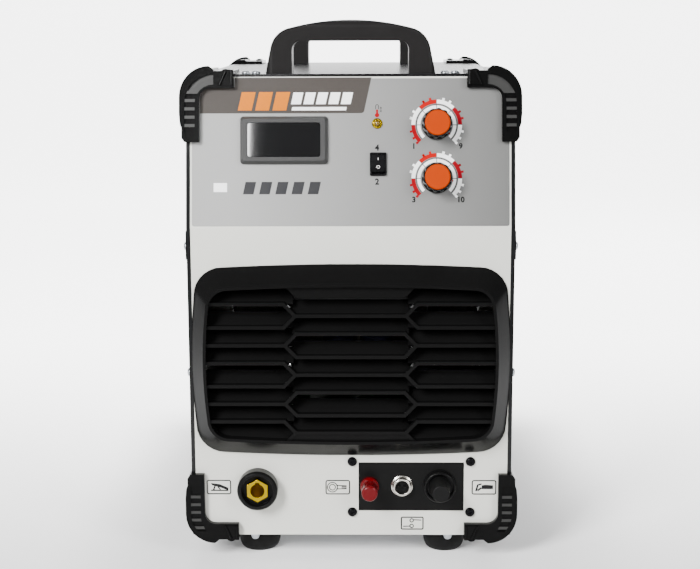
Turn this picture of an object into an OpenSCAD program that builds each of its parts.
// Plasma cutting power source: a sheet-steel housing with a tilted control face,
// a moulded front grille, eight corner guards and two carrying handles.
// Millimetres, X to the right, Y to the rear, Z up. The origin is on the floor,
// midway between the side walls and midway between the front and rear panels.

/* [Housing] */
// Width of the housing over its side walls
housing_w = 297; // [290:1:320]
// Depth of the housing over its panels
housing_d = 430; // [410:1:470]
// Height of the housing's bottom edge above the floor
floor_gap = 22; // [18:0.5:28]
// Height from the bottom edge to the fold of the front panel
lower_h = 290; // [286:1:305]
// Length of the tilted control face up to the top of the cover
control_l = 139; // [136:0.5:150]
// Backward tilt of the control face
control_tilt = 10.5; // [6:0.5:14]
// Thickness of the sheet steel
sheet = 1.5; // [1:0.1:2]
// Bend radius of the cover's two top edges
cover_bend_r = 14; // [8:1:20]
// Width of the cover's folded edge beside the panels
side_hem = 3.6; // [3:0.1:5]
// Height of the cover's folded edge above the panels
top_hem = 2.4; // [2:0.1:4]
// Depth of the returns folded back behind the panels
panel_return = 14; // [10:1:18]
// Height of the base tray's folded-up edges
tray_edge_h = 16; // [12:0.5:17]
// Gap between sheet-metal pieces that lie together
sheet_gap = 0.2; // [0.1:0.05:0.4]

/* [Control overlay] */
// Thickness of the printed film
film_t = 0.4; // [0.3:0.05:0.8]
// Margin of the film inside the control face
film_margin = 1.6; // [1:0.2:3]

/* [Front grille] */
// Distance of the bezel from the housing's sides
grille_side = 2.7; // [1:0.1:6]
// Height over the bezel
grille_h = 179.4; // [176:1:184]
// Distance from the fold down to the bezel
grille_drop = 32.8; // [28:1:36]
// How far the lip stands in front of the panel
grille_proud = 20; // [16:0.5:26]
// Corner radius of the bezel
grille_r = 26; // [20:1:30]
// Width of the sloping bezel at the sides
bezel_side = 12.2; // [10:0.2:15]
// Height of the sloping bezel at the top and bottom
bezel_end = 15.4; // [13:0.2:18]
// Width of the rounded lip round the opening
lip_w = 2.6; // [2:0.2:4]
// Wall of the hollow bezel
bezel_wall = 3; // [2:0.2:4]
// How far the sides and ends bow outwards
grille_bow = 3; // [1:0.5:4]
// Spacing of the honeycomb's half rows
cell_pitch = 27.25; // [26:0.25:28]
// Half height of a honeycomb cell
cell_half = 10.75; // [10:0.25:11.5]
// Distance from the centre to the tip of a side cell
cell_tip = 50; // [44:1:56]
// How far a cell's pointed end reaches
cell_point = 10.5; // [8:0.5:13]
// Thickness of the honeycomb bars
bar_t = 3.2; // [2.4:0.2:4]
// Depth of the honeycomb bars
bar_d = 9; // [6:0.5:12]
// How far the bars lie behind the lip
bar_set = 3; // [1:0.5:6]
// Slope of the louvre blades
blade_slope = 52; // [40:1:56]
// Thickness of the louvre blades
blade_t = 1.6; // [1.2:0.1:2.4]

/* [Corner guards] */
// How far a guard laps onto the panel
guard_lap = 12.2; // [9:0.2:15]
// How far a guard stands out from the side wall
guard_out = 3.5; // [3:0.1:5]
// How far a guard stands above the top
guard_over = 4.5; // [4:0.1:6]
// Extra height of the bumper rim round the corner
guard_rim = 2.3; // [1.4:0.1:3]
// Thickness of the guard in front of the panel
guard_front = 5.5; // [4:0.25:7]
// Length of the upright arm
guard_arm_v = 60; // [52:1:70]
// Length of the level arm
guard_arm_h = 43.5; // [40:0.5:50]
// How far a guard wraps back along the housing
guard_wrap = 55; // [40:1:80]
// Outer corner radius, across
guard_rx = 24.5; // [22:0.5:28]
// Outer corner radius, up and down
guard_rz = 25.5; // [23:0.5:30]
// Corner radius beside the panel
guard_inner_r = 10; // [6:1:14]
// Depth of the ribbed channel
channel_depth = 1.8; // [1:0.2:2.6]
// Spacing of the cross ribs
rib_pitch = 7.5; // [6.5:0.25:9]
// Width of a cross rib
rib_w = 2.8; // [2:0.2:4]
// Clearance between a guard and the housing
guard_gap = 0.15; // [0.1:0.05:0.3]

/* [Handles] */
// Distance of the handle's legs from the housing's sides
handle_side = 71.5; // [66:0.5:74]
// Height above the cover
handle_h = 48; // [45:0.5:56]
// Depth of the handle from front to back
handle_d = 30; // [24:1:36]
// Height of the grip bar
handle_bar = 18.8; // [16:0.2:22]
// Width of a handle's leg at its foot
leg_w = 24.2; // [22:0.1:28]
// Corner radius of the finger opening
finger_r = 7.5; // [4:0.5:12]
// Crown radius of the grip bar
crown_r = 215; // [180:5:300]
// Radius of the shoulders
shoulder_r = 22; // [16:1:26]
// Inward lean of the legs
leg_lean = 11.9; // [8:0.1:14]
// Rounding of the front and rear edges
handle_round = 7; // [4:0.5:10]
// Distance of the front handle behind the cover's edge
front_handle_set = 3.5; // [2:0.5:12]
// Distance of the rear handle from the rear panel
rear_handle_set = 12; // [8:1:20]

/* [Panel meter] */
// Centre of the meter across the face
meter_x = -59.8; // [-66:0.2:-54]
// Centre of the meter up the face
meter_s = 79; // [74:0.2:84]
// Width of the meter bezel
meter_w = 79; // [76:0.5:82]
// Height of the meter bezel
meter_h = 43; // [40:0.5:46]
// How far the bezel stands proud
meter_proud = 6; // [4:0.5:8]
// Width of the meter's window
window_w = 66; // [60:0.5:70]
// Height of the meter's window
window_h = 31; // [28:0.5:34]
// Depth of the meter case behind the panel
meter_case_d = 26; // [20:1:32]

/* [Indicator and rocker] */
// Centre of the indicator across the face
lamp_x = 24.1; // [20:0.5:28]
// Centre of the indicator up the face
lamp_s = 94; // [90:0.5:100]
// Diameter of the lamp's lens
lens_d = 5; // [3:0.5:6]
// Diameter of the lamp's threaded holder
holder_d = 7.8; // [7:0.2:9]
// Centre of the rocker switch across the face
rocker_x = 25; // [20:0.5:28]
// Centre of the rocker switch up the face
rocker_s = 57.4; // [54:0.2:61]
// Width of the rocker switch's frame
rocker_w = 15; // [14:0.25:17]
// Height of the rocker switch's frame
rocker_h = 21; // [20:0.25:23]
// Half of the rocker's swing
rocker_tilt = 9; // [6:0.5:10]

/* [Knobs] */
// Distance of both knobs from the housing's side
knob_side = 70.8; // [64:0.2:76]
// Centre of the current knob up the face
current_s = 92.7; // [90:0.1:100]
// Centre of the time knob up the face
time_s = 44.5; // [40:0.2:50]
// Diameter of the fluted skirt
knob_d = 27.3; // [25:0.1:29]
// Height of a knob
knob_h = 18; // [15:0.5:22]
// Diameter of the knob's cap
cap_d = 22.8; // [20:0.1:24]
// Number of flutes round the skirt
flutes = 12; // [10:1:18]
// Diameter of a potentiometer shaft
pot_shaft_d = 6; // [5:0.5:6.5]
// Radial running clearance of shafts and pivots
run_gap = 0.05; // [0.02:0.01:0.08]
// Gap between a turning piece and its neighbours
turn_gap = 0.5; // [0.3:0.1:1]

/* [Earth socket] */
// Distance of the earth socket from the housing's side
earth_side = 61.8; // [56:0.2:68]
// Height of the earth socket above the base
earth_z = 46.5; // [44:0.5:50]
// Diameter of the insulating ring
earth_d = 37.4; // [34:0.2:40]
// How far the ring stands proud
earth_proud = 14; // [10:0.5:18]
// Across flats of the brass insert
earth_hex = 19; // [17:0.5:21]
// Bore of the brass insert
earth_bore = 13; // [9:0.5:14]

/* [Terminal board] */
// Distance of the terminal window's centre from the housing's side
board_side = 92.7; // [88:0.2:96]
// Height of the window's centre above the base
board_z = 46.9; // [44:0.2:50]
// Width of the terminal window
board_w = 98; // [94:0.5:102]
// Height of the terminal window
board_h = 47.1; // [44:0.5:50]
// Thickness of the insulating board
board_t = 5; // [3:0.5:8]
// Margin from the window to the screws, across
board_screw_x = 5.8; // [5:0.2:8]
// Margin from the window to the screws, up and down
board_screw_z = 0.9; // [0.5:0.1:2]
// Head diameter of the board's screws
board_screw_d = 9; // [7:0.2:9.4]
// Centre of the pilot post from the window's centre
post_set = -38.7; // [-40:0.2:-34]
// Diameter of the pilot post's base
post_base_d = 17.5; // [15:0.5:19]
// Diameter of the pilot post's cap
post_cap_d = 15; // [12:0.5:16]
// Diameter of the pilot post's stud
post_stud_d = 5; // [4:0.5:6]
// Centre of the control socket from the window's centre
control_set = -8.6; // [-11:0.2:-6]
// Outer diameter of the control socket's ring
control_d = 17.5; // [16:0.5:19]
// Diameter of the control socket's insulator
control_insert_d = 13.2; // [12:0.2:14]
// Centre of the torch fitting from the window's centre
torch_set = 26.5; // [24:0.2:29]
// Outer diameter of the torch fitting's collar
torch_collar_d = 29.5; // [27:0.5:31]
// Diameter of the torch fitting's threaded end
torch_thread_d = 14; // [12:0.5:15]
// Diameter of the protective cap at its foot
torch_cap_d = 20; // [18.5:0.5:21]
// Reach of the posts and caps in front of the panel
front_reach = 24; // [21:0.5:28]

/* [Feet and lugs] */
// Distance of the feet from the housing's sides
foot_side = 60.5; // [56:0.5:66]
// Distance of the feet from the panels
foot_set = 32; // [32:1:50]
// Diameter of a foot at the housing
foot_d = 40; // [34:1:44]
// Diameter of a foot on the floor
foot_bottom_d = 29; // [20:1:32]
// Depth of a side lug along the housing
lug_d = 20; // [14:1:26]
// Height of a side lug
lug_h = 22; // [18:1:28]
// Gap between the side wall and a lug's plate
lug_stand = 0.3; // [0.2:0.1:3]
// Height of the lugs above the base
lug_z = 260; // [255:1:264]
// Distance of the lugs behind the front panel
lug_set = 7; // [6:1:12]

/* [Rear fittings] */
// Height of the fan's centre above the base
fan_z = 190; // [170:1:220]
// Size of the square fan frame
fan_size = 120; // [112:1:130]
// Depth of the fan frame
fan_depth = 38; // [32:1:42]
// Number of fan blades
fan_blades = 7; // [5:1:9]
// Diameter of the fan's hub
fan_hub_d = 42; // [36:1:50]
// Centre of the mains breaker across the panel
breaker_x = 84; // [74:1:92]
// Height of the breaker's centre above the base
breaker_z = 340; // [320:1:360]
// Width of the mains breaker
breaker_w = 54; // [46:1:60]
// Height of the mains breaker
breaker_h = 80; // [70:1:86]
// Half of the breaker lever's swing
lever_tilt = 24; // [16:1:26]
// Centre of the cable gland across the panel
gland_x = -84; // [-92:1:-72]
// Height of the cable gland above the base
gland_z = 60; // [50:1:80]
// Bore of the cable gland
gland_bore = 12; // [9:0.5:14]
// Reach of the inlet and gland behind the rear panel
rear_reach = 24; // [20:0.5:28]

/* [Inside] */
// Width of one heat sink
sink_w = 50; // [44:1:54]
// Height of a heat sink
sink_h = 92; // [84:1:100]
// Length of a heat sink
sink_l = 190; // [170:1:210]
// Number of fins on a heat sink
fins = 10; // [8:1:12]
// Outer diameter of the air hose
hose_d = 10; // [8:0.5:12]
// Bore of the air hose
hose_bore = 6; // [4:0.5:7]

/* [Hidden] */
$fn = 48;

// Planes of the housing
front_y = -housing_d / 2;
rear_y = housing_d / 2;
base_z = floor_gap;
fold_z = base_z + lower_h;
top_z = fold_z + control_l * cos(control_tilt);
top_front_y = front_y + control_l * sin(control_tilt);
side_x = housing_w / 2;
knob_x = side_x - knob_side;
earth_x = earth_side - side_x;
board_x = side_x - board_side;
post_x = board_x + post_set;
control_x = board_x + control_set;
torch_x = board_x + torch_set;
foot_x = side_x - foot_side;
grille_w = 2 * (side_x - grille_side);
handle_w = 2 * (side_x - handle_side);
finger_w = handle_w - 2 * leg_w;
panel_half = side_x - side_hem - sheet_gap;
panel_top_s = control_l - top_hem - sheet_gap;
eps = 0.01;
over = 1;
// Gap between pieces that are screwed or stood together
seat_gap = 0.1;
// Height of the posts and sockets on the terminal board
post_z = board_z + 0.5;

// Colours
steel_light = [0.84, 0.84, 0.82];
gloss_black = [0.08, 0.08, 0.08];
satin_black = [0.2, 0.2, 0.19];
rubber_black = [0.06, 0.06, 0.06];
zinc = [0.75, 0.76, 0.78];
brass = [0.85, 0.68, 0.3];
orange = [1, 0.42, 0];
post_red = [0.75, 0.06, 0.06];

// ---------- Placing and common shapes ----------

// On the lower front panel: x across, y up, z outwards
module on_front(x, z) {
  translate([x, front_y, base_z + z]) rotate([90, 0, 0]) children();
}

// On the tilted control face: x across, y up the face, z outwards
module on_control(x, s) {
  translate([0, front_y, fold_z]) rotate([90 - control_tilt, 0, 0]) translate([x, s, 0])
    children();
}

// On the rear panel: y up, z outwards to the rear
module on_rear(x, z) {
  translate([x, rear_y, base_z + z]) rotate([90, 0, 180]) children();
}

// Extrudes a side-view outline (y, z) across the width
module across(w) {
  rotate([90, 0, 90]) linear_extrude(w, center = true) children();
}

// Extrudes a front-view outline (x, z) from y0 rearwards over depth d
module rearwards(y0, d) {
  translate([0, y0 + d, 0]) rotate([90, 0, 0]) linear_extrude(d) children();
}

module up(z) {
  translate([0, 0, z]) children();
}

module rounded_rect(w, h, r) {
  square([w - 2 * r, h], center = true);
  square([w, h - 2 * r], center = true);
  for (x = [-1, 1], y = [-1, 1])
    translate([x * (w / 2 - r), y * (h / 2 - r)]) circle(r);
}

module hexagon(across_flats) {
  circle(d = across_flats / cos(30), $fn = 6);
}

// Points of an arc about c
function arc(c, r, from, to, n) =
  [for (i = [0:n]) c + r * [cos(from + (to - from) * i / n), sin(from + (to - from) * i / n)]];

// Screw with a domed pan head above z = 0 and its shank below
module pan_screw(head_d, head_h, shank_d, shank_l) {
  rotate_extrude() polygon(concat([[0, -shank_l], [shank_d / 2, -shank_l], [shank_d / 2, 0],
    [head_d / 2, 0], [head_d / 2, head_h * 0.4]],
    [[head_d * 0.38, head_h * 0.85], [head_d * 0.2, head_h], [0, head_h]]));
}

// ---------- Housing ----------

// Side-view outline of the housing, drawn in by inset on the faces given
function side_outline(front_in, top_in, rear_in, bottom) =
  let (t = control_tilt,
    s_top = (top_z - top_in - fold_z + front_in * sin(t)) / cos(t))
  [[front_y + front_in, bottom],
   [front_y + front_in, fold_z - front_in * tan(t / 2)],
   [front_y + s_top * sin(t) + front_in * cos(t), top_z - top_in],
   [rear_y - rear_in, top_z - top_in],
   [rear_y - rear_in, bottom]];

// Front-view outline with the two rounded top edges
module front_outline(inset, bottom) {
  r = max(cover_bend_r - inset, 1);
  w = housing_w - 2 * inset;
  h = top_z - inset - bottom;
  translate([-w / 2, bottom]) square([w, h - r]);
  translate([-w / 2 + r, bottom]) square([w - 2 * r, h]);
  for (x = [-1, 1]) translate([x * (w / 2 - r), top_z - inset - r]) circle(r);
}

// Solid block with the housing's outer shape, drawn in by inset
module housing_block(inset, front_in, rear_in, bottom) {
  intersection() {
    rearwards(front_y - 2 * guard_wrap, housing_d + 4 * guard_wrap)
      front_outline(inset, bottom);
    across(housing_w + 2 * guard_wrap)
      polygon(side_outline(front_in, inset, rear_in, bottom));
  }
}

// Bent front sheet between two depths behind its face, up to s on the control face
module front_sheet(w, bottom, s, near, far) {
  t = control_tilt;
  across(w) polygon([
    [front_y + near, bottom],
    [front_y + far, bottom],
    [front_y + far, fold_z - far * tan(t / 2)],
    [front_y + s * sin(t) + far * cos(t), fold_z + s * cos(t) - far * sin(t)],
    [front_y + s * sin(t) + near * cos(t), fold_z + s * cos(t) - near * sin(t)],
    [front_y + near, fold_z - near * tan(t / 2)]]);
}

// Places of the cover's side screws: depth from the front or rear panel, height
side_screw_in = 8;
side_screw_z = [154.6, 70, 250];
screw_head_d = 8;
screw_head_h = 2.6;
screw_shank_d = 4;
screw_hole_d = 4.4;
screw_len = 8;
top_screw_x = side_x - 58;
top_screw_pitch = 9;
top_screw_y = 12;

module side_screw_places() {
  for (side = [-1, 1], z = side_screw_z, end = [-1, 1])
    if (z == side_screw_z[0] || end == 1)
      translate([side * side_x, end * (housing_d / 2 - side_screw_in), base_z + z])
      rotate([0, side * 90, 0]) children();
}

module top_screw_places() {
  for (side = [-1, 1], dx = [-0.5, 0.5])
    translate([side * top_screw_x + dx * top_screw_pitch, top_front_y + top_screw_y, top_z])
      children();
}

// Handle bolts come up through the cover into the legs
handle_bolt_x = (handle_w + finger_w) / 4 - 1;
handle_bolt_y = [top_front_y + front_handle_set + handle_d / 2,
    rear_y - rear_handle_set - handle_d / 2];
bolt_len = 18;

module handle_bolt_places() {
  for (x = [-1, 1] * handle_bolt_x, y = handle_bolt_y)
    translate([x, y, top_z - sheet]) rotate([180, 0, 0]) children();
}

lug_screw_z = lug_z + lug_h / 2;
lug_y = front_y + lug_set + lug_d / 2;

module lug_screw_places() {
  for (side = [-1, 1])
    translate([side * (side_x + lug_stand + sheet), lug_y, base_z + lug_screw_z])
      rotate([0, side * 90, 0]) children();
}

module cover_shell() {
  color(gloss_black) difference() {
    housing_block(0, 0, 0, base_z);
    housing_block(sheet, sheet, sheet, base_z - over);
    // openings for the front and rear panels inside the folded edges
    across(housing_w - 2 * side_hem) polygon([
      [front_y - over, base_z - over],
      [front_y - over, fold_z],
      [top_front_y - over - top_hem * sin(control_tilt),
       fold_z + (control_l - top_hem) * cos(control_tilt)],
      [top_front_y + 3 * sheet, fold_z + (control_l - top_hem) * cos(control_tilt)],
      [front_y + 3 * sheet, base_z - over]]);
    rearwards(rear_y - sheet - over, sheet + 2 * over)
      translate([-housing_w / 2 + side_hem, base_z - over])
        square([housing_w - 2 * side_hem, top_z - top_hem - base_z + over]);
    side_screw_places() cylinder(d = screw_hole_d, h = 4 * sheet, center = true);
    top_screw_places() cylinder(d = screw_hole_d, h = 4 * sheet, center = true);
    handle_bolt_places() cylinder(d = screw_hole_d, h = 4 * sheet, center = true);
    lug_screw_places() cylinder(d = screw_hole_d, h = 4 * (sheet + lug_stand), center = true);
  }
}

module cover_screw(l) {
  pan_screw(screw_head_d, screw_head_h, screw_shank_d, l);
}

module cover_screws() {
  color(zinc) {
    side_screw_places() cover_screw(screw_len);
    top_screw_places() cover_screw(screw_len);
    lug_screw_places() cover_screw(screw_len + lug_stand);
    handle_bolt_places() cover_screw(bolt_len);
  }
}

foot_places = [for (x = [-1, 1], y = [-1, 1]) [x * foot_x, y * (housing_d / 2 - foot_set)]];
// Small bolts that hold the panels' lower edges, beside the feet
edge_bolt_set = 7;
edge_bolt_x = foot_x + 2.5;
edge_bolt_places = [for (x = [-1, 1], y = [-1, 1])
    [x * edge_bolt_x, y * (housing_d / 2 - edge_bolt_set)]];
foot_bolt_d = 5;
foot_bolt_hole = 5.4;

module base_tray() {
  w = housing_w - 2 * (sheet + sheet_gap);
  inner = sheet + sheet_gap;
  l = housing_d - 2 * inner;
  // the ends are narrower, to pass between the panels' side returns
  end_w = 2 * (panel_half - sheet - 2 * sheet_gap);
  color([0.7, 0.7, 0.7]) difference() {
    union() {
      translate([-w / 2, front_y + panel_return + sheet, base_z])
        cube([w, housing_d - 2 * (panel_return + sheet), tray_edge_h]);
      translate([-end_w / 2, front_y + inner, base_z]) cube([end_w, l, tray_edge_h]);
    }
    translate([-w / 2 + sheet, front_y + panel_return + 2 * sheet, base_z + sheet])
      cube([w - 2 * sheet, housing_d - 2 * (panel_return + 2 * sheet), tray_edge_h]);
    translate([-end_w / 2 + sheet, front_y + inner + sheet, base_z + sheet])
      cube([end_w - 2 * sheet, l - 2 * sheet, tray_edge_h]);
    for (p = concat(foot_places, edge_bolt_places)) translate([p[0], p[1], base_z - over])
      cylinder(d = foot_bolt_hole, h = 2 * over + sheet);
  }
}

// Grille opening in the front panel, measured from the centre of the grille
grille_z = fold_z - grille_drop - grille_h / 2;
duct_t = 1.5;
air_w = grille_w - 2 * (bezel_side + lip_w - duct_t - sheet_gap);
air_h = grille_h - 2 * (bezel_end + lip_w - duct_t - sheet_gap);
pot_bush_d = 7;
pot_hole_d = pot_bush_d + 2 * sheet_gap;
earth_neck_d = earth_d - 6;
meter_body_w = meter_w - 5;
meter_body_h = meter_h - 5;
rocker_body_w = rocker_w - 2;
rocker_body_h = rocker_h - 2;
cut_gap = 0.3;
board_screw_places = [for (x = [-1, 1], z = [-1, 1])
    [board_x + x * (board_w / 2 + board_screw_x),
    board_z + z * (board_h / 2 + board_screw_z)]];

// Cuts through the control face, a margin larger for the film
module control_cuts(margin, depth) {
  on_control(meter_x, meter_s) linear_extrude(depth, center = true)
    square([meter_body_w + 2 * (cut_gap + margin), meter_body_h + 2 * (cut_gap + margin)],
      center = true);
  on_control(rocker_x, rocker_s) linear_extrude(depth, center = true)
    square([rocker_body_w + 2 * (cut_gap + margin), rocker_body_h + 2 * (cut_gap + margin)],
      center = true);
  on_control(lamp_x, lamp_s)
    cylinder(d = holder_d + 2 * (sheet_gap + margin), h = depth, center = true);
  for (s = [current_s, time_s]) on_control(knob_x, s)
    cylinder(d = pot_hole_d + 2 * margin, h = depth, center = true);
}

module front_panel() {
  back = panel_return;
  color(steel_light) difference() {
    union() {
      front_sheet(2 * panel_half, base_z, panel_top_s, 0, sheet);
      // side returns, clear of the cover's folded edge
      for (x = [-1, 1]) translate([x * (panel_half - sheet / 2), 0, 0])
        front_sheet(sheet, base_z + eps, panel_top_s - sheet, sheet - eps, back);
      // top return
      on_control(0, panel_top_s - sheet / 2) up(-back / 2)
        cube([2 * panel_half - 2 * cover_bend_r, sheet, back], center = true);
    }
    // the upper corners are cut to clear the cover's bends
    for (x = [-1, 1]) on_control(x * panel_half, panel_top_s) rotate([0, 0, 45])
      cube([cover_bend_r * 0.6, cover_bend_r * 0.6, 4 * back], center = true);
    control_cuts(0, 6 * sheet);
    translate([0, front_y, grille_z]) rotate([90, 0, 0])
      linear_extrude(6 * sheet, center = true)
        rounded_rect(air_w, air_h, grille_r / 2);
    on_front(earth_x, earth_z) cylinder(d = earth_neck_d + 2 * sheet_gap, h = 6 * sheet,
        center = true);
    on_front(board_x, board_z) cube([board_w, board_h, 6 * sheet], center = true);
    for (p = board_screw_places) on_front(p[0], p[1])
      cylinder(d = screw_hole_d, h = 6 * sheet, center = true);
    side_screw_places() cylinder(d = screw_hole_d, h = 8 * side_hem, center = true);
    top_screw_places() cylinder(d = screw_hole_d, h = 8 * panel_return, center = true);
  }
}

module control_overlay() {
  l = panel_top_s - 2 * film_margin;
  color([0.78, 0.78, 0.78]) difference() {
    on_control(0, film_margin + l / 2)
      linear_extrude(film_t) rounded_rect(2 * (panel_half - film_margin), l, 2);
    control_cuts(sheet_gap, 6 * sheet);
    // the film stops at the edges of the corner guards
    for (side = [-1, 1]) place_guard(side, 1, -1)
      rearwards(-guard_wrap, 2 * guard_wrap) polygon(guard_outline(sheet_gap));
  }
}

// ---------- Rear panel and its openings ----------

fan_bore = fan_size - 6;
breaker_face = 5;
gland_thread_d = 20;
inlet_thread_d = 12;
fan_screw_pitch = fan_size - 15;
fan_screw_d = 4;
// The air inlet lies on the line of the torch fitting
inlet_x = torch_x;
inlet_z = post_z;

module rear_panel() {
  h = top_z - top_hem - sheet_gap - base_z;
  color(steel_light) difference() {
    union() {
      translate([-panel_half, rear_y - sheet, base_z]) cube([2 * panel_half, sheet, h]);
      for (x = [-1, 1])
        translate([x * (panel_half - sheet / 2) - sheet / 2, rear_y - panel_return,
          base_z + eps])
          cube([sheet, panel_return - sheet + eps, h - cover_bend_r]);
    }
    for (x = [-1, 1]) on_rear(x * panel_half, h) rotate([0, 0, 45])
      cube([cover_bend_r * 0.6, cover_bend_r * 0.6, 4 * sheet], center = true);
    on_rear(0, fan_z) cylinder(d = fan_bore, h = 6 * sheet, center = true);
    for (x = [-1, 1], z = [-1, 1])
      on_rear(x * fan_screw_pitch / 2, fan_z + z * fan_screw_pitch / 2)
        cylinder(d = fan_screw_d + 2 * sheet_gap, h = 6 * sheet, center = true);
    on_rear(breaker_x, breaker_z)
      cube([breaker_w + 2 * cut_gap, breaker_h + 2 * cut_gap, 6 * sheet], center = true);
    on_rear(gland_x, gland_z)
      cylinder(d = gland_thread_d + 2 * sheet_gap, h = 6 * sheet, center = true);
    on_rear(inlet_x, inlet_z)
      cylinder(d = inlet_thread_d + 2 * sheet_gap, h = 6 * sheet, center = true);
    side_screw_places() cylinder(d = screw_hole_d, h = 8 * side_hem, center = true);
  }
}

// ---------- Front grille ----------

// Closed outline with bowed sides: half width, half height, corner radius
function bowed(hw, hh, r) =
  let (cx = hw - grille_bow - r, cz = hh - grille_bow - r, steps = 6,
    side = [for (i = [1:2 * steps - 1]) let (u = i / steps - 1)
    [hw - grille_bow * u * u, cz * u]],
    end = [for (i = [1:2 * steps - 1]) let (u = i / steps - 1)
    [-cx * u, hh - grille_bow * u * u]])
  concat(side, arc([cx, cz], r, 0, 90, 7), end, arc([-cx, cz], r, 90, 180, 7),
    [for (p = side) -p], arc([-cx, -cz], r, 180, 270, 7),
    [for (p = end) -p], arc([cx, -cz], r, 270, 360, 7));

lip_hw = grille_w / 2 - bezel_side;
lip_hh = grille_h / 2 - bezel_end;
lip_r = grille_r - 6;
open_hw = lip_hw - lip_w;
open_hh = lip_hh - lip_w;
slab = 1.2;

// A flat bar between two points of the honeycomb
module bar(a, b) {
  d = b - a;
  translate(a) rotate(atan2(d[1], d[0])) translate([-bar_t / 3, -bar_t / 2])
    square([norm(d) + bar_t * 2 / 3, bar_t]);
}

cell_shoulder = cell_tip + cell_point;
centre_shoulder = cell_tip - 1;
centre_tip = centre_shoulder + cell_point;
// Levels of the cells above the grille's centre
side_rows = [44.75, 44.75 - 2 * cell_pitch, 44.75 - 4 * cell_pitch];
centre_rows = [44.75 - cell_pitch, 44.75 - 3 * cell_pitch];
reach = grille_w / 2;

module honeycomb() {
  for (m = [0, 1]) mirror([m, 0]) {
    for (v = side_rows) {
      bar([cell_shoulder, v + cell_half], [reach, v + cell_half]);
      bar([cell_shoulder, v - cell_half], [reach, v - cell_half]);
      bar([cell_tip, v], [cell_shoulder, v + cell_half]);
      bar([cell_tip, v], [cell_shoulder, v - cell_half]);
    }
    for (v = centre_rows) {
      bar([centre_tip, v], [reach, v]);
      bar([centre_shoulder, v + cell_half], [centre_tip, v]);
      bar([centre_shoulder, v - cell_half], [centre_tip, v]);
    }
  }
  for (v = side_rows) bar([-cell_tip, v], [cell_tip, v]);
  for (v = centre_rows, side = [-1, 1])
    bar([-centre_shoulder, v + side * cell_half], [centre_shoulder, v + side * cell_half]);
}

// Blank panels that close the middle cells at the top and bottom
module honeycomb_blanks() {
  top = side_rows[0] + cell_pitch - cell_half;
  low = side_rows[2];
  polygon([[-centre_shoulder, top], [centre_shoulder, top], [centre_tip, top + cell_half],
      [centre_tip, reach], [-centre_tip, reach], [-centre_tip, top + cell_half]]);
  polygon([[-cell_tip, low], [cell_tip, low], [cell_shoulder, low - cell_half],
      [cell_shoulder, -reach], [-cell_shoulder, -reach], [-cell_shoulder, low - cell_half]]);
}

// Louvre blade behind a bar at level v, from x0 to x1, rising to the rear
module blade(x0, x1, v) {
  translate([x0, v - bar_t / 2, blade_z]) rotate([blade_slope, 0, 0])
    up(-blade_len) cube([x1 - x0, blade_t, blade_len]);
}

blade_z = grille_proud - bar_set - bar_d + 2;
blade_back = 0.5;
blade_len = (blade_z - blade_back) / cos(blade_slope) + 1;
side_blades = [side_rows[0] + cell_half, side_rows[0] - cell_half, centre_rows[0],
    side_rows[1] + cell_half, side_rows[1] - cell_half, centre_rows[1],
    side_rows[2] + cell_half, -open_hh + 1];
centre_blades = [side_rows[0], centre_rows[0] + cell_half, centre_rows[0] - cell_half,
    side_rows[1], centre_rows[1] + cell_half, centre_rows[1] - cell_half,
    side_rows[2]];

module front_grille() {
  color(gloss_black) translate([0, front_y, grille_z]) rotate([90, 0, 0]) {
    difference() {
      hull() {
        linear_extrude(slab) polygon(bowed(grille_w / 2, grille_h / 2, grille_r));
        up(grille_proud - slab) linear_extrude(slab)
          polygon(bowed(lip_hw, lip_hh, lip_r));
      }
      // opening through the lip
      up(-over) linear_extrude(grille_proud + 2 * over)
        polygon(bowed(open_hw, open_hh, lip_r - lip_w));
      // hollow back of the bezel
      hull() {
        up(-over) linear_extrude(slab)
          polygon(bowed(grille_w / 2 - bezel_wall, grille_h / 2 - bezel_wall,
            grille_r - bezel_wall));
        up(grille_proud - bar_set - bar_d) linear_extrude(slab)
          polygon(bowed(lip_hw + 1, lip_hh + 1, lip_r));
      }
    }
    // duct wall from the lip back to the panel
    difference() {
      linear_extrude(grille_proud - slab)
        polygon(bowed(open_hw + duct_t, open_hh + duct_t, lip_r - lip_w + duct_t));
      up(-over) linear_extrude(grille_proud + over)
        polygon(bowed(open_hw, open_hh, lip_r - lip_w));
    }
    intersection() {
      up(grille_proud - bar_set - bar_d) union() {
        linear_extrude(bar_d) honeycomb();
        up(bar_d - 4) linear_extrude(3) honeycomb_blanks();
      }
      linear_extrude(grille_proud) polygon(bowed(open_hw + eps, open_hh + eps,
          lip_r - lip_w));
    }
    intersection() {
      union() {
        for (v = side_blades, side = [-1, 1])
          blade(side > 0 ? cell_tip + 2 : -reach, side > 0 ? reach : -cell_tip - 2, v);
        for (v = centre_blades) blade(-cell_tip - 3, cell_tip + 3, v);
      }
      up(blade_back) linear_extrude(grille_proud - bar_set - 2)
        polygon(bowed(open_hw + eps, open_hh + eps, lip_r - lip_w));
    }
  }
}

// ---------- Handles ----------

// Right half of the handle's outline, from the foot of the leg to the crown
function handle_half() =
  let (n = [cos(leg_lean), sin(leg_lean)], d = [-sin(leg_lean), cos(leg_lean)],
    k = handle_w / 2 * cos(leg_lean), o = [0, handle_h - crown_r],
    w = n * (k - shoulder_r) - o, along = -(w * d) + sqrt(pow(w * d, 2) - w * w
    + pow(crown_r - shoulder_r, 2)),
    c = n * (k - shoulder_r) + d * along,
    turn = atan2(c[1] - o[1], c[0] - o[0]))
  concat([[handle_w / 2, 0]], arc(c, shoulder_r, leg_lean, turn, 8),
    arc(o, crown_r, turn, 90, 8));

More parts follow.
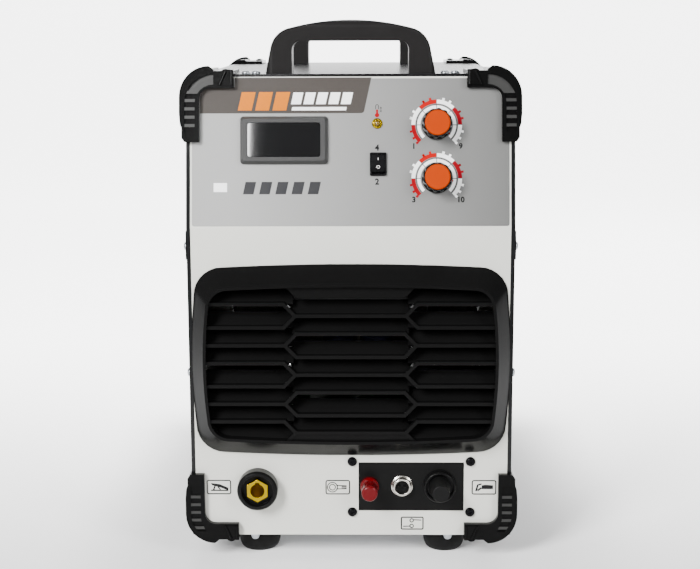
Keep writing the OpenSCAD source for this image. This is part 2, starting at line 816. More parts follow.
module handle_block(y) {
  half = handle_half();
  translate([0, y, top_z]) intersection() {
    rearwards(-handle_d / 2, handle_d) difference() {
      polygon(concat(half, [for (i = [len(half) - 2:-1:0]) [-half[i][0], half[i][1]]]));
      translate([0, (handle_h - handle_bar) / 2 - finger_r])
        rounded_rect(finger_w, handle_h - handle_bar + 2 * finger_r, finger_r);
    }
    // rounded front and rear edges
    across(2 * handle_w) translate([0, (handle_h - 2 * handle_round) / 2])
      rounded_rect(handle_d, handle_h + 2 * handle_round, handle_round);
    linear_extrude(handle_h) rounded_rect(handle_w, handle_d, handle_round);
  }
}

module handle(y) {
  color(satin_black) difference() {
    handle_block(y);
    for (x = [-1, 1] * handle_bolt_x) translate([x, y, top_z - over])
      cylinder(d = screw_shank_d + 2 * sheet_gap, h = bolt_len + over);
  }
}

module front_handle() { handle(handle_bolt_y[0]); }
module rear_handle() { handle(handle_bolt_y[1]); }

// ---------- Corner guards ----------
// Drawn for a corner at the upper right front: x outwards from the side wall,
// z up from the top, y rearwards from the face. tilt leans the face back.

guard_c = [guard_out - guard_rx, guard_over - guard_rz];
guard_i = [-guard_lap - guard_inner_r, -guard_lap - guard_inner_r];
// Height of the level arm over the housing
arm_over = 3;
// Slope at the end of the upright arm
arm_slope_x = 2.6;
arm_slope_v = 4;

// Outer corner of the guard, grown by g
function elbow(g, from, to) =
  [for (i = [0:10]) let (a = from + (to - from) * i / 10)
   guard_c + [(guard_rx + g) * cos(a), (guard_rz + g) * sin(a)]];

// L outline between the outer edge and the lap on the panel, inner edges grown by g
function guard_outline(g = 0) =
  concat([[-guard_arm_h - g, arm_over], [guard_c[0] - 4, arm_over],
    [guard_c[0] - 2.5, guard_over]], elbow(0, 90, 0),
    [[guard_out, -guard_arm_v + arm_slope_v], [guard_out - arm_slope_x, -guard_arm_v - g],
    [-guard_lap - g, -guard_arm_v - g]],
    arc(guard_i, guard_inner_r - g, 0, 90, 6), [[-guard_arm_h - g, -guard_lap - g]]);

// Raised rim that follows the outer corner
rim_end_v = -45.5;
function rim_outline() =
  concat([[guard_c[0] - 4, guard_over - 1], [guard_c[0] - 3, guard_over]],
    elbow(guard_rim, 90, 0),
    [[guard_out + guard_rim, rim_end_v + 9], [guard_out + guard_rim - 0.8, rim_end_v],
    [guard_out, rim_end_v - 4], [guard_out - 1, rim_end_v - 5]],
    elbow(-1, 0, 90));

// Sunken channel along the middle of the face
border_in = 3.7;
border_out = 2.8;
channel_w = guard_lap + guard_out - border_in - border_out;
// Inner end of an upper guard's channel, and the radius of its outer side
channel_u = -guard_arm_h + 18.2;
channel_r = guard_out - border_out - channel_u;
channel_c = [channel_u, guard_over - 5.5 - channel_r];

function top_channel() =
  concat(arc(channel_c, channel_r, 90, 0, 9),
    [[guard_out - border_out, -guard_arm_v + 7], [-guard_lap + border_in, -guard_arm_v + 7]],
    arc(channel_c, channel_r - channel_w, 0, 90, 6));

// A lower guard's channel stops at the start of the bend
function low_channel() =
  concat([[-guard_lap - 0.5, -5]], elbow(-border_out, 45, 0),
    [[guard_out - border_out, -guard_arm_v + 11.5],
    [-guard_lap + border_in, -guard_arm_v + 11.5], [-guard_lap + border_in, -16]]);

// Clip block: its slanted outer end at the foot and at the top
clip_foot = -29.6;
clip_head = -35.6;
clip_raise = 1.2;
ridge_r = 1.3;
dome_r = 4.8;
dome_x = -36.4;

// Half-round ridge up the clip block
module ridge(x, l, turn) {
  translate([x, -guard_lap + 1.5, guard_front + clip_raise - 0.2]) rotate([0, 0, turn])
    rotate([-90, 0, 0]) cylinder(r = ridge_r, h = l, $fn = 20);
}

module corner_guard(tilt, rib_start, channel) {
  deep = guard_arm_v * tan(tilt) + guard_front + 3;
  color(gloss_black) difference() {
    union() {
      // front plate and wrap, cut from one L-shaped block
      intersection() {
        rearwards(-deep, deep + guard_wrap) polygon(guard_outline());
        guard_face(tilt, guard_front, 200);
      }
      guard_frame(tilt) {
        up(guard_front - 7) linear_extrude(7 - 0.8)
          polygon(rim_outline());
        // clip block at the inner end, with its two ridges
        up(guard_front - eps) linear_extrude(clip_raise + eps)
          polygon([[-guard_arm_h, -guard_lap + 1.4], [clip_foot, -guard_lap + 1.4],
            [clip_head, arm_over], [-guard_arm_h, arm_over]]);
        ridge(-guard_arm_h + 1.8, guard_lap + arm_over - 2, 0);
        ridge(clip_foot - 1.6, guard_lap + arm_over - 2, 24);
      }
      // domed boss on the clip block
      intersection() {
        translate([dome_x, 0, 0]) rotate([-90, 0, 0]) cylinder(r = dome_r, h = 26, center = true);
        guard_face(tilt, guard_front, 200);
      }
    }
    // room for the housing corner
    intersection() {
      up(guard_gap) rearwards(-deep - over, deep + guard_wrap + 3 * over)
        translate([guard_gap, 0]) guard_housing_corner();
      guard_face(tilt, guard_gap / 2, guard_wrap + 200);
    }
    // sunken channel with its cross ribs left standing
    guard_frame(tilt) difference() {
      up(guard_front - channel_depth) linear_extrude(channel_depth + over)
        polygon(channel);
      for (i = [0:4])
        translate([-guard_lap - 2, -rib_start - i * rib_pitch - rib_w / 2, 0])
          cube([guard_lap + guard_out + 2, rib_w, guard_front - 0.3]);
    }
    // grooves along the side
    for (i = [0:2]) translate([guard_out, 14, -22 - i * 11])
      rotate([-90, 0, 0]) cylinder(r = 1.2, h = guard_wrap - 24, $fn = 16);
  }
}

// Frame on the leaning face: x outwards, y up the face, z forwards
module guard_frame(tilt) {
  rotate([90 - tilt, 0, 0]) children();
}

// Everything behind a plane that lies front ahead of the leaning face
module guard_face(tilt, front, depth) {
  guard_frame(tilt) translate([-100, -150, -depth]) cube([200, 300, depth + front]);
}

// Corner of the housing in front view, with the cover's bend
module guard_housing_corner() {
  translate([-100, -150]) square([100, 150 - cover_bend_r]);
  translate([-100, -150]) square([100 - cover_bend_r, 150]);
  translate([-cover_bend_r, -cover_bend_r]) circle(cover_bend_r);
}

top_rib_start = 17;
low_rib_start = 8.4;

module place_guard(side, level, end) {
  y = end < 0 ? (level > 0 ? top_front_y : front_y) : rear_y;
  translate([side * side_x, y, level > 0 ? top_z : base_z])
    mirror([side < 0 ? 1 : 0, 0, 0]) mirror([0, 0, level < 0 ? 1 : 0])
      mirror([0, end > 0 ? 1 : 0, 0]) children();
}

module top_guard(side, end) {
  place_guard(side, 1, end) corner_guard(end < 0 ? control_tilt : 0, top_rib_start, top_channel());
}

module low_guard(side, end) {
  color(gloss_black) difference() {
    place_guard(side, -1, end) corner_guard(0, low_rib_start, low_channel());
    // the base has square corners
    place_guard(side, -1, end) translate([guard_gap, 0, guard_gap])
      rearwards(-guard_gap / 2, guard_wrap + 2 * over)
        translate([-cover_bend_r, -cover_bend_r]) square(cover_bend_r);
    // relief round the foot
    translate([side * foot_x, end * (housing_d / 2 - foot_set), 0])
      cylinder(d = foot_d + 3, h = base_z + guard_lap);
  }
}

module guard_front_top_left() { top_guard(-1, -1); }
module guard_front_top_right() { top_guard(1, -1); }
module guard_front_bottom_left() { low_guard(-1, -1); }
module guard_front_bottom_right() { low_guard(1, -1); }
module guard_rear_top_left() { top_guard(-1, 1); }
module guard_rear_top_right() { top_guard(1, 1); }
module guard_rear_bottom_left() { low_guard(-1, 1); }
module guard_rear_bottom_right() { low_guard(1, 1); }

// ---------- Feet, base screws and side lugs ----------

foot_sink_d = 11;
foot_sink_h = 13;
base_head_h = 3.4;

module rubber_feet() {
  bulge = 9;
  color(rubber_black) for (p = foot_places) translate([p[0], p[1], 0]) difference() {
    rotate_extrude() polygon(concat([[0, 0], [foot_bottom_d / 2, 0]],
      [for (i = [1:6]) let (a = 90 * i / 6)
       [foot_bottom_d / 2 + (foot_d - foot_bottom_d) / 2 * sin(a),
       floor_gap * 0.62 * (1 - cos(a))]],
      [[foot_d / 2, floor_gap - sheet_gap], [0, floor_gap - sheet_gap]]));
    up(-over) cylinder(d = foot_sink_d, h = foot_sink_h + over);
    cylinder(d = foot_bolt_hole, h = floor_gap + over);
  }
}

module base_screws() {
  color(zinc) {
    for (p = foot_places) translate([p[0], p[1], foot_sink_h]) rotate([180, 0, 0])
      pan_screw(foot_sink_d - 1.6, base_head_h, foot_bolt_d, floor_gap - foot_sink_h + 5);
    for (p = edge_bolt_places) translate([p[0], p[1], base_z - sheet_gap]) rotate([180, 0, 0])
      pan_screw(foot_sink_d - 2.8, 6.4, foot_bolt_d, 8);
  }
}

module side_lugs() {
  color(gloss_black) for (side = [-1, 1])
    translate([side * side_x, lug_y, base_z + lug_z]) mirror([side < 0 ? 1 : 0, 0, 0])
      difference() {
        rearwards(-lug_d / 2, lug_d) polygon([
          [lug_stand, 0], [lug_stand + sheet, 0],
          [lug_stand + sheet, lug_h - 6],
          [sheet + 0.1, lug_h - 1], [sheet + 0.1, lug_h + 4], [0.1, lug_h + 4],
          [0.1, lug_h - 1.6], [lug_stand, lug_h - 6.6]]);
        up(lug_h / 2) rotate([0, 90, 0])
          cylinder(d = screw_hole_d, h = 20, center = true);
      }
}

// ---------- Panel meter ----------

pane_t = 1.2;
pane_gap = 0.15;
meter_wall = 2;

module meter_bezel() {
  color([0.3, 0.3, 0.3]) on_control(meter_x, meter_s) difference() {
    union() {
      // stepped, sloping frame
      up(film_t) hull() {
        linear_extrude(1.6) rounded_rect(meter_w, meter_h, 3);
        linear_extrude(meter_proud) rounded_rect(meter_w - 5, meter_h - 5, 2.5);
      }
      up(-meter_case_d / 2 + film_t)
        cube([meter_body_w, meter_body_h, meter_case_d], center = true);
    }
    // pocket for the window and the case's inside
    up(meter_proud + film_t - pane_t - 1)
      linear_extrude(pane_t + 2) rounded_rect(window_w, window_h, 2.5);
    up((meter_proud - meter_case_d) / 2 + film_t)
      cube([window_w - 4, window_h - 4, meter_case_d + meter_proud - 2 * meter_wall],
        center = true);
  }
}

module meter_window() {
  color(gloss_black) on_control(meter_x, meter_s)
    up(meter_proud + film_t - pane_t - 1 + pane_gap)
      linear_extrude(pane_t) rounded_rect(window_w - 2 * pane_gap, window_h - 2 * pane_gap, 2.4);
}

digit_count = 4;
digit_w = 9;
digit_h = 15;

module meter_board() {
  z = film_t + meter_proud - pane_t - 1 - 6;
  w = window_w - 4 - 2 * pane_gap;
  color([0.1, 0.35, 0.15]) on_control(meter_x, meter_s) {
    // circuit board on four posts
    translate([-w / 2, -(window_h - 4) / 2 + pane_gap, z - 1.6])
      cube([w, window_h - 4 - 2 * pane_gap, 1.6]);
    for (x = [-1, 1], y = [-1, 1])
      translate([x * (w / 2 - 4), y * 9, film_t - meter_case_d + meter_wall])
        cylinder(d = 4, h = z - 1.6 - (film_t - meter_case_d + meter_wall) + eps);
    // row of seven-segment blocks
    for (i = [0:digit_count - 1])
      translate([(i - (digit_count - 1) / 2) * 12.6 - digit_w / 2 - 1, -digit_h / 2 - 1, z - eps])
        cube([digit_w + 2, digit_h + 2, 5]);
  }
}

// ---------- Indicator lamp and mode rocker ----------

module indicator_holder() {
  color([0.75, 0.65, 0.35]) on_control(lamp_x, lamp_s) difference() {
    union() {
      up(film_t) rotate_extrude()
        polygon([[0, 0], [holder_d / 2 + 0.9, 0], [holder_d / 2 + 0.9, 0.8],
          [holder_d / 2, 1.8], [0, 1.8]]);
      up(film_t - 12) cylinder(d = holder_d, h = 12 + eps);
      // nut behind the panel
      up(-sheet - 2.6) linear_extrude(2.5) hexagon(holder_d + 3);
    }
    up(-20) cylinder(d = lens_d + 0.2, h = 40);
  }
}

module indicator_lens() {
  color([1, 0.65, 0.1]) on_control(lamp_x, lamp_s) rotate_extrude()
    polygon(concat([[0, -8], [lens_d / 2, -8], [lens_d / 2, film_t + 2]],
      [for (i = [1:6]) let (a = 90 * i / 6)
      [lens_d / 2 * cos(a), film_t + 2 + lens_d / 2 * sin(a)]]));
}

rocker_flange = 1.8;
rocker_body_d = 17;
rocker_pin_d = 3;
rocker_button_w = rocker_w - 3.6;
rocker_button_h = rocker_h - 4.4;
// Level of the rocker's pivot above the control face
rocker_pivot = -1.2;

module rocker_frame() {
  color(gloss_black) on_control(rocker_x, rocker_s) difference() {
    union() {
      up(film_t) linear_extrude(rocker_flange)
        rounded_rect(rocker_w, rocker_h, 1.2);
      up(-rocker_body_d / 2 + film_t)
        cube([rocker_body_w, rocker_body_h, rocker_body_d], center = true);
    }
    up(-3) linear_extrude(20)
      square([rocker_button_w + 2 * turn_gap * 0.7, rocker_button_h + 2 * turn_gap * 0.9],
        center = true);
    // hollow under the swinging button
    up(-4.6)
      cube([rocker_button_w + 2 * turn_gap * 0.7, rocker_button_h, 9], center = true);
    up(rocker_pivot) rotate([0, 90, 0])
      cylinder(d = rocker_pin_d + 2 * run_gap, h = rocker_body_w - 0.8, center = true);
  }
}

module rocker_button() {
  half = rocker_button_h / 2;
  rise = half * tan(rocker_tilt);
  color([0.1, 0.1, 0.1]) on_control(rocker_x, rocker_s)
    up(rocker_pivot) rotate([-rocker_tilt, 0, 0]) {
      // shallow V, so that either half lies level when pressed
      rotate([90, 0, 90]) linear_extrude(rocker_button_w, center = true)
        polygon([[-half + 0.4, 1.2], [-half, 2], [-half + 0.7, 3.2 + rise], [0, 3.2],
          [half - 0.7, 3.2 + rise], [half, 2], [half - 0.4, 1.2],
          [3, -1.6], [-3, -1.6]]);
      rotate([0, 90, 0]) cylinder(d = rocker_pin_d, h = rocker_body_w - 1.2, center = true);
    }
}

// ---------- Knobs and potentiometers ----------

knob_lift = 1.2;
knob_base = film_t + knob_lift;
flute_r = 3.4;
cap_seat = 2.4;
cap_rise = 0.8;
bush_h = 5.5;
shaft_top = knob_base + knob_h - cap_seat - 2;

// turn is the angle of the pointer, anticlockwise from the right
module knob(s, turn) {
  color([0.08, 0.08, 0.08]) on_control(knob_x, s) difference() {
    union() {
      up(knob_base) rotate_extrude() polygon([
        [0, 0], [knob_d / 2, 0], [knob_d / 2, 3], [knob_d / 2 - 0.6, 4],
        [knob_d / 2 - 0.6, knob_h - 1], [knob_d / 2 - 1.4, knob_h], [0, knob_h]]);
      // pointer nib on the skirt
      rotate([0, 0, turn]) up(knob_base + 0.3) linear_extrude(2)
        polygon([[knob_d / 2 - 2, -2.2], [knob_d / 2 + 1.6, 0], [knob_d / 2 - 2, 2.2]]);
    }
    for (i = [0:flutes - 1]) rotate([0, 0, turn + (i + 0.5) * 360 / flutes])
      translate([knob_d / 2 + flute_r - 1.6, 0, knob_base + 4.5]) cylinder(r = flute_r, h = knob_h);
    // seat for the cap
    up(knob_base + knob_h - cap_seat) cylinder(d = cap_d + 0.1, h = 10);
    // bore for the shaft and hollow underneath
    up(-over) cylinder(d = pot_shaft_d + 0.1, h = shaft_top + 0.2 + over);
    up(-over) cylinder(d = 16, h = knob_base + 5 + over);
  }
}

module knob_cap(s) {
  color(orange) on_control(knob_x, s) up(knob_base + knob_h - cap_seat + 0.05)
    rotate_extrude() polygon([[0, 0], [cap_d / 2, 0], [cap_d / 2, cap_seat + cap_rise - 0.9],
      [cap_d / 2 - 0.9, cap_seat + cap_rise - 0.1],
      [0, cap_seat + cap_rise]]);
}

pot_body_d = 17;
pot_body_h = 11;
pot_z = -sheet - pot_body_h;
shaft_tail = 6;

module shaft(s) {
  color(zinc) on_control(knob_x, s) up(pot_z + shaft_tail)
    cylinder(d = pot_shaft_d, h = shaft_top - pot_z - shaft_tail);
}

// Where the pointers stand at rest
current_turn = -36;
time_turn = -10;

module current_knob() { knob(current_s, current_turn); }
module current_knob_cap() { knob_cap(current_s); }
module current_shaft() { shaft(current_s); }
module time_knob() { knob(time_s, time_turn); }
module time_knob_cap() { knob_cap(time_s); }
module time_shaft() { shaft(time_s); }

module potentiometers() {
  color([0.6, 0.6, 0.58]) for (s = [current_s, time_s]) on_control(knob_x, s) difference() {
    union() {
      up(pot_z) cylinder(d = pot_body_d, h = pot_body_h - 0.05);
      cylinder(d = pot_bush_d, h = 2 * bush_h, center = true);
      // nut on the film, inside the knob's hollow
      up(film_t + 0.05) linear_extrude(2) hexagon(10);
      // solder tags
      translate([-5, -pot_body_d / 2 - 5, pot_z + 2]) cube([10, 8, 1]);
    }
    up(pot_z + shaft_tail - turn_gap)
      cylinder(d = pot_shaft_d + 2 * run_gap, h = 40);
  }
}

// ---------- Earth socket ----------

earth_back = 24;

module earth_socket_body() {
  color(gloss_black) on_front(earth_x, earth_z) difference() {
    union() {
      rotate_extrude() polygon([
        [0, 0.05], [earth_d / 2 - 0.4, 0.05], [earth_d / 2, 0.6],
        [earth_d / 2, earth_proud - 2], [earth_d / 2 - 1.6, earth_proud],
        [0, earth_proud]]);
      up(-earth_back) cylinder(d = earth_neck_d, h = earth_back + 0.2);
      // ring nut behind the panel
      up(-sheet - 6.1) cylinder(d = earth_d + 4, h = 6);
    }
    // open well round the insert
    up(earth_proud - 7) cylinder(d = earth_d - 8, h = 8);
    up(-earth_back - over) cylinder(d = earth_bore + 5.9, h = 80);
  }
}

module earth_socket_insert() {
  color(brass) on_front(earth_x, earth_z) difference() {
    union() {
      up(-earth_back - 10)
        cylinder(d = earth_bore + 5.6, h = earth_back + 3 + earth_proud + 2 * seat_gap);
      up(earth_proud - 7 + seat_gap) linear_extrude(5) rotate(30)
        hexagon(earth_hex);
      up(-earth_back - 16) cylinder(d = 10, h = 7);
    }
    up(earth_proud - 32) cylinder(d = earth_bore, h = 40);
    // key slot for the twist lock
    translate([-2, 0, earth_proud - 28]) cube([4, earth_bore / 2 + 1.3, 40]);
  }
}

// ---------- Terminal board and its fittings ----------

board_y = -sheet - 0.05;
fit_gap = 0.15;

module on_board(x) {
  on_front(x, post_z) up(board_y) children();
}

module terminal_board() {
  w = board_w + 2 * board_screw_x + 9;
  h = board_h + 2 * board_screw_z + 9;
  color(gloss_black) difference() {
    on_front(board_x, board_z) translate([-w / 2, -h / 2, board_y - board_t])
      cube([w, h, board_t]);
    on_board(post_x) cylinder(d = post_stud_d + 2 * fit_gap, h = 3 * board_t, center = true);
    on_board(control_x)
      cylinder(d = control_d - 1.5 + 2 * fit_gap, h = 3 * board_t, center = true);
    on_board(torch_x)
      cylinder(d = torch_thread_d + 2 * fit_gap, h = 3 * board_t, center = true);
    for (p = board_screw_places) on_front(p[0], p[1])
      cylinder(d = screw_shank_d + 2 * fit_gap, h = 60, center = true);
  }
}

module terminal_board_screws() {
  color(gloss_black) for (p = board_screw_places) on_front(p[0], p[1])
    up(0.05)
      pan_screw(board_screw_d, 3, screw_shank_d, sheet + board_t + 3);
}

post_base_h = 7;
post_cap_gap = turn_gap;
post_front = front_reach - board_y;

module pilot_post_base() {
  color(post_red) on_board(post_x) difference() {
    rotate_extrude() polygon([[0, 0.05], [post_base_d / 2, 0.05],
      [post_base_d / 2, post_base_h - 2], [post_base_d / 2 - 1.4, post_base_h],
      [0, post_base_h]]);
    cylinder(d = post_stud_d + 2 * fit_gap, h = 40, center = true);
  }
}

stud_front = post_front - 3;

module pilot_post_stud() {
  color(brass) on_board(post_x) {
    up(-board_t - 14) cylinder(d = post_stud_d, h = board_t + 14 + stud_front);
    up(-board_t - 4.1) linear_extrude(4) hexagon(post_stud_d * 1.7);
    // second nut with the soldering tag
    up(-board_t - 9) linear_extrude(4) hexagon(post_stud_d * 1.7);
  }
}

module pilot_post_cap() {
  z0 = post_base_h + post_cap_gap;
  color(post_red) on_board(post_x) difference() {
    rotate_extrude() polygon(concat([[0, z0], [post_cap_d / 2 - 0.8, z0], [post_cap_d / 2, z0 + 0.8],
      [post_cap_d / 2, post_front - 2.4]],
      arc([post_cap_d / 2 - 2.4, post_front - 2.4], 2.4, 0, 90, 5), [[0, post_front]]));
    for (i = [0:11]) rotate([0, 0, i * 30]) translate([post_cap_d / 2 + 0.3, 0, z0 + 3])
      cylinder(r = 0.9, h = post_front - z0 - 7, $fn = 16);
    up(z0 - over) cylinder(d = post_stud_d + 2 * run_gap,
        h = stud_front - z0 + over + 0.4);
  }
}

control_proud = 6.4;

module control_socket_shell() {
  color(zinc) on_board(control_x) difference() {
    union() {
      // flange on the board and the threaded ring
      rotate_extrude() polygon([[0, 0.05], [control_d / 2 + 1.4, 0.05],
        [control_d / 2 + 1.4, 1], [control_d / 2, 1.6],
        [control_d / 2, control_proud - 0.8], [control_d / 2 - 0.8, control_proud],
        [0, control_proud]]);
      up(-board_t - 9) cylinder(d = control_d - 1.5, h = board_t + 9.2);
      up(-board_t - 3.6) linear_extrude(3.5) hexagon(control_d + 3);
    }
    up(-board_t - 10) cylinder(d = control_insert_d, h = 60);
  }
}

module control_socket_insert() {
  color(gloss_black) on_board(control_x) {
    up(-board_t - 8) cylinder(d = control_insert_d - 0.1,
        h = board_t + 8 + control_proud - 4.5);
    // two contact pins
    for (x = [-1, 1]) translate([x * 2.9, 0, -board_t - 13])
      cylinder(d = 2, h = board_t + 13 + control_proud - 1);
  }
}

collar_h = 7;
torch_well = 4;
torch_front = front_reach - board_y;

module torch_collar() {
  color(gloss_black) on_board(torch_x) difference() {
    rotate_extrude() polygon([[0, 0.05], [torch_collar_d / 2, 0.05],
      [torch_collar_d / 2, collar_h - 1], [torch_collar_d / 2 - 1, collar_h],
      [0, collar_h]]);
    up(collar_h - torch_well) cylinder(d = torch_collar_d - 4, h = 20);
    cylinder(d = torch_thread_d + 2 * fit_gap, h = 40, center = true);
  }
}

torch_thread_l = torch_front - 4;
barb_d = hose_bore;
barb_l = 16;

module torch_fitting() {
  color(brass) on_board(torch_x) difference() {
    union() {
      up(-board_t - 6) cylinder(d = torch_thread_d, h = board_t + 6 + torch_thread_l);
      up(-board_t - 6.1) linear_extrude(6) hexagon(torch_thread_d + 6);
      // hose barb
      up(-board_t - 6 - barb_l) cylinder(d = barb_d, h = barb_l + over);
    }
    up(-board_t - 40) cylinder(d = 3.6, h = 120);
  }
}

module torch_cap() {
  z0 = collar_h - torch_well + 0.05;
  color(rubber_black) on_board(torch_x) difference() {
    rotate_extrude() polygon(concat([[0, z0], [torch_cap_d / 2, z0],
      [torch_cap_d / 2, z0 + 3], [torch_cap_d / 2 - 2.1, torch_front - 1.2]],
      arc([torch_cap_d / 2 - 3.3, torch_front - 1.2], 1.2, 0, 90, 4),
      [[0, torch_front]]));
    up(z0 - over) cylinder(d = torch_thread_d + 2 * fit_gap,
        h = torch_thread_l - z0 + over + 0.3);
  }
}

// ---------- Inside ----------

tray_top = base_z + sheet;
sink_gap = 18;
sink_y = -115;
sink_base = 9;

module heat_sinks() {
  fin_t = 2;
  pitch = (sink_h - fin_t) / (fins - 1);
  color([0.72, 0.73, 0.75]) for (side = [-1, 1])
    translate([side * (sink_gap + sink_w) / 2, sink_y, tray_top + seat_gap])
      mirror([side < 0 ? 1 : 0, 0, 0]) {
        translate([-sink_w / 2, 0, 0]) cube([sink_base, sink_l, sink_h]);
        for (i = [0:fins - 1]) translate([-sink_w / 2, 0, i * pitch])
          cube([sink_w, sink_l, fin_t]);
      }
}

pcb_z = tray_top + seat_gap + sink_h + seat_gap;
pcb_t = 2;
pcb_w = 130;

module inverter_board() {
  color([0.1, 0.4, 0.2]) {
    translate([-pcb_w / 2, sink_y - 10, pcb_z]) cube([pcb_w, sink_l + 20, pcb_t]);
    // connector blocks and a row of gate driver modules
    for (i = [0:3]) translate([-pcb_w / 2 + 8, sink_y + 10 + i * 44, pcb_z + pcb_t - eps])
      cube([14, 30, 16]);
    translate([pcb_w / 2 - 30, sink_y + 8, pcb_z + pcb_t - eps]) cube([22, 60, 12]);
  }
}

cap_can_d = 35;
cap_can_h = 56;

module capacitors() {
  color([0.2, 0.25, 0.5]) for (i = [0:1], j = [0:1])
    translate([-14 + i * (cap_can_d + 4), sink_y + 92 + j * (cap_can_d + 5),
      pcb_z + pcb_t + seat_gap])
      rotate_extrude() polygon([[0, 0], [cap_can_d / 2, 0], [cap_can_d / 2, cap_can_h - 1.5],
      [cap_can_d / 2 - 1.5, cap_can_h], [0, cap_can_h]]);
}

module transformer() {
  color([0.35, 0.3, 0.28]) translate([-10, 125, tray_top + seat_gap]) {
    // two E cores round the winding
    for (y = [-1, 1]) translate([-40, y * 14 - 10, 0]) cube([80, 20, 66]);
    up(8) difference() {
      translate([-27, -38, 0]) cube([54, 76, 50]);
      translate([-40.1, -24.1, -over]) cube([80.2, 48.2, 60]);
    }
  }
}

module output_choke() {
  color([0.75, 0.45, 0.2]) translate([45.5 - side_x, 20, tray_top + seat_gap + 35])
    rotate([0, 90, 0]) rotate_extrude() translate([22.5, 0]) intersection() {
      circle(12.5);
      square([25, 25], center = true);
    }
}

fan_y = rear_y - sheet - 0.1 - fan_depth;
rotor_gap = 1.5;
rotor_r = fan_bore / 2 - rotor_gap;
axle_d = 4;

// Axis of the fan along Y, y = 0 at the inner face of the frame
module on_fan() {
  translate([0, fan_y, base_z + fan_z]) rotate([-90, 0, 0]) children();
}

spider_t = 4;

module fan_frame() {
  color(gloss_black) on_fan() difference() {
    union() {
      difference() {
        linear_extrude(fan_depth) rounded_rect(fan_size, fan_size, 5);
        up(-over) cylinder(d = fan_bore, h = fan_depth + 2 * over);
      }
      // motor plate with four struts at the inner face
      cylinder(d = fan_hub_d, h = spider_t);
      for (a = [45:90:315]) rotate([0, 0, a]) translate([fan_hub_d / 2 - 4, -3, 0])
        cube([fan_bore / 2 - fan_hub_d / 2 + 6, 6, spider_t]);
      cylinder(d = 12, h = spider_t + 5);
    }
    up(-over) cylinder(d = axle_d + 2 * run_gap, h = 40);
    for (x = [-1, 1], y = [-1, 1])
      translate([x * fan_screw_pitch / 2, y * fan_screw_pitch / 2, -over])
        cylinder(d = fan_screw_d + 2 * fit_gap, h = fan_depth + 2 * over);
  }
}

module fan_rotor() {
  z0 = spider_t + turn_gap * 2;
  blade_w = 32;
  blade_pitch = 38;
  root = fan_hub_d / 2 - 1.5;
  tip = sqrt(pow(rotor_r, 2) - pow(blade_w / 2 * cos(blade_pitch), 2));
  color([0.12, 0.12, 0.12]) on_fan() {
    difference() {
      union() {
        up(z0) cylinder(d = fan_hub_d, h = 26);
        for (i = [0:fan_blades - 1]) rotate([0, 0, i * 360 / fan_blades])
          translate([root, 0, z0 + 13]) rotate([blade_pitch, 0, 0])
            translate([0, -blade_w / 2, -1]) cube([tip - root, blade_w, 2]);
      }
      // hollow hub round the bearing tube
      up(z0 - over) cylinder(d = fan_hub_d - 6, h = 22 + over);
    }
    cylinder(d = axle_d, h = z0 + 23);
  }
}

wire_d = 2.4;
rings = 5;
ring_r = 14;
ring_step = (fan_bore / 2 - 5 - ring_r) / (rings - 1);
leg_l = fan_screw_pitch / sqrt(2) - 5.2 - fan_bore / 2 + 5;

module fan_guard() {
  color(zinc) on_rear(0, fan_z) {
    for (i = [0:rings - 1]) up(6)
      rotate_extrude() translate([ring_r + i * ring_step, 0]) circle(d = wire_d, $fn = 16);
    for (a = [0, 90]) rotate([0, 0, a]) up(6 - wire_d * 0.6)
      rotate([0, 90, 0]) cylinder(d = wire_d, h = fan_bore, center = true, $fn = 16);
    // four legs down to eyelets under the fan screws
    for (x = [-1, 1], y = [-1, 1]) translate([x * fan_screw_pitch / 2, y * fan_screw_pitch / 2, 0]) {
      difference() {
        up(0.05) cylinder(d = 9, h = 1.6);
        cylinder(d = fan_screw_d + 2 * fit_gap, h = 10, center = true);
      }
      up(0.05) rotate([0, 0, atan2(-y, -x)]) translate([5.2, 0, 0]) {
        cylinder(d = wire_d, h = 7);
        translate([-1.6, -wire_d / 2, 0]) cube([2, wire_d, 1.6]);
        up(6) rotate([0, 90, 0]) cylinder(d = wire_d, h = leg_l);
      }
      // fan screw
      up(1.7) pan_screw(7.6, 2.6, fan_screw_d, 16);
    }
  }
}

valve_l = 56;
valve_w = 34;
inlet_len = 14;

module solenoid_valve() {
  color([0.55, 0.55, 0.56]) on_rear(inlet_x, inlet_z) {
    difference() {
      union() {
        up(-sheet - 0.1 - valve_l / 2)
          cube([valve_w, valve_w, valve_l], center = true);
        up(-sheet - valve_l - barb_l) cylinder(d = barb_d, h = barb_l + over);
      }
      up(-sheet - inlet_len - 2) cylinder(d = inlet_thread_d + 0.1, h = 40);
      up(-sheet - valve_l - barb_l - over) cylinder(d = 3.6, h = valve_l + barb_l);
    }
    // coil on top of the body
    translate([0, valve_w / 2 + 12, -sheet - valve_l / 2])
      cube([26, 24 + 2 * eps, 34], center = true);
  }
}

module air_inlet() {
  color(brass) on_rear(inlet_x, inlet_z) difference() {
    union() {
      up(-sheet - inlet_len) cylinder(d = inlet_thread_d, h = inlet_len + sheet + 1);
      up(0.05) linear_extrude(8) hexagon(17);
      up(8) rotate_extrude() polygon([[0, 0], [5, 0], [4.2, 2], [5, 2.4],
        [4, 6], [5, 6.4], [4, 10], [5, 10.4], [3.8, rear_reach - 8], [0, rear_reach - 8]]);
    }
    up(-sheet - inlet_len - over) cylinder(d = 5, h = 80);
  }
}

hose_start = front_y + 2 * sheet + board_t + 6 + 1;
hose_end = rear_y - sheet - valve_l - 1;

module air_hose() {
  color([0.1, 0.2, 0.45]) translate([torch_x, hose_start, base_z + post_z])
    rotate([-90, 0, 0]) difference() {
      cylinder(d = hose_d, h = hose_end - hose_start);
      up(-over) cylinder(d = hose_bore + 0.05, h = housing_d);
    }
}

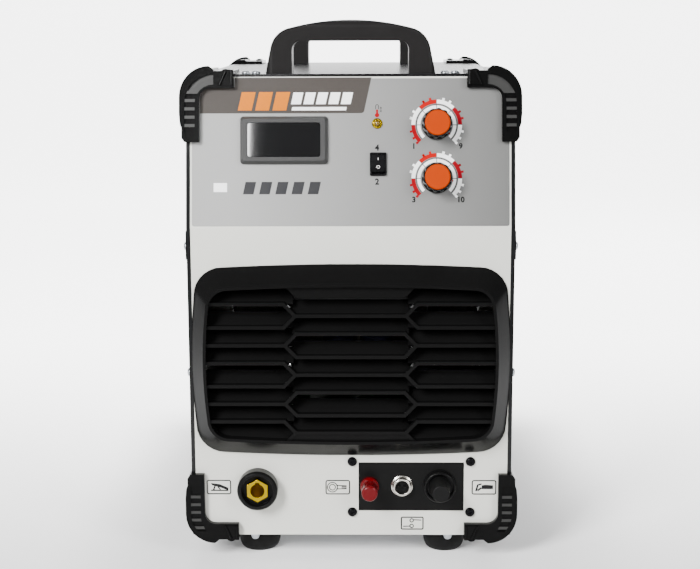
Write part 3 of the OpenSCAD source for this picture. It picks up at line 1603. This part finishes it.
module cable_gland() {
  color(satin_black) on_rear(gland_x, gland_z) difference() {
    union() {
      up(-sheet - 9) cylinder(d = gland_thread_d, h = 10 + sheet);
      up(0.05) linear_extrude(6) hexagon(27);
      up(6) rotate_extrude() polygon(concat([[0, 0], [12.4, 0], [12.4, 9]],
        arc([7.4, rear_reach - 11], 5, 0, 90, 5), [[0, rear_reach - 6]]));
      up(-sheet - 5.1) linear_extrude(5) hexagon(27);
    }
    up(-40) cylinder(d = gland_bore, h = 80);
  }
}

breaker_d = 66;
lever_w = 13;
lever_drum = 7;
lever_pin_d = 4;
lever_depth = 9;
lever_out = 13;
slot_w = lever_w + 2 * turn_gap;
slot_h = 34;

module mains_breaker() {
  color([0.14, 0.14, 0.15]) on_rear(breaker_x, breaker_z) difference() {
    union() {
      translate([-breaker_w / 2, -breaker_h / 2, breaker_face - breaker_d])
        cube([breaker_w, breaker_h, breaker_d]);
      // rim that rests on the panel
      up(0.05) linear_extrude(1.8)
        rounded_rect(breaker_w + 6, breaker_h + 6, 3);
    }
    up(breaker_face - (lever_depth + lever_drum + turn_gap) / 2 + 0.5)
      cube([slot_w, slot_h, lever_depth + lever_drum + turn_gap + 1], center = true);
    up(breaker_face - lever_depth) rotate([0, 90, 0])
      cylinder(d = lever_pin_d + 2 * run_gap, h = slot_w + 12, center = true);
  }
}

module breaker_lever() {
  color([0.05, 0.05, 0.05]) on_rear(breaker_x, breaker_z)
    up(breaker_face - lever_depth) rotate([lever_tilt, 0, 0]) {
      rotate([0, 90, 0]) cylinder(r = lever_drum, h = lever_w, center = true);
      rotate([0, 90, 0]) cylinder(d = lever_pin_d, h = slot_w + 11, center = true);
      translate([-lever_w / 2, -3.2, 0]) cube([lever_w, 6.4, lever_depth + lever_out]);
    }
}

base_tray();
front_panel();
control_overlay();
rear_panel();
cover_shell();
cover_screws();
front_grille();
front_handle();
rear_handle();
guard_front_top_left();
guard_front_top_right();
guard_front_bottom_left();
guard_front_bottom_right();
guard_rear_top_left();
guard_rear_top_right();
guard_rear_bottom_left();
guard_rear_bottom_right();
rubber_feet();
base_screws();
side_lugs();
meter_bezel();
meter_window();
meter_board();
indicator_holder();
indicator_lens();
rocker_frame();
rocker_button();
current_knob();
current_knob_cap();
current_shaft();
time_knob();
time_knob_cap();
time_shaft();
potentiometers();
earth_socket_body();
earth_socket_insert();
terminal_board();
terminal_board_screws();
pilot_post_base();
pilot_post_stud();
pilot_post_cap();
control_socket_shell();
control_socket_insert();
torch_fitting();
torch_collar();
torch_cap();
heat_sinks();
inverter_board();
capacitors();
transformer();
output_choke();
fan_frame();
fan_rotor();
fan_guard();
solenoid_valve();
air_hose();
air_inlet();
cable_gland();
mains_breaker();
breaker_lever();
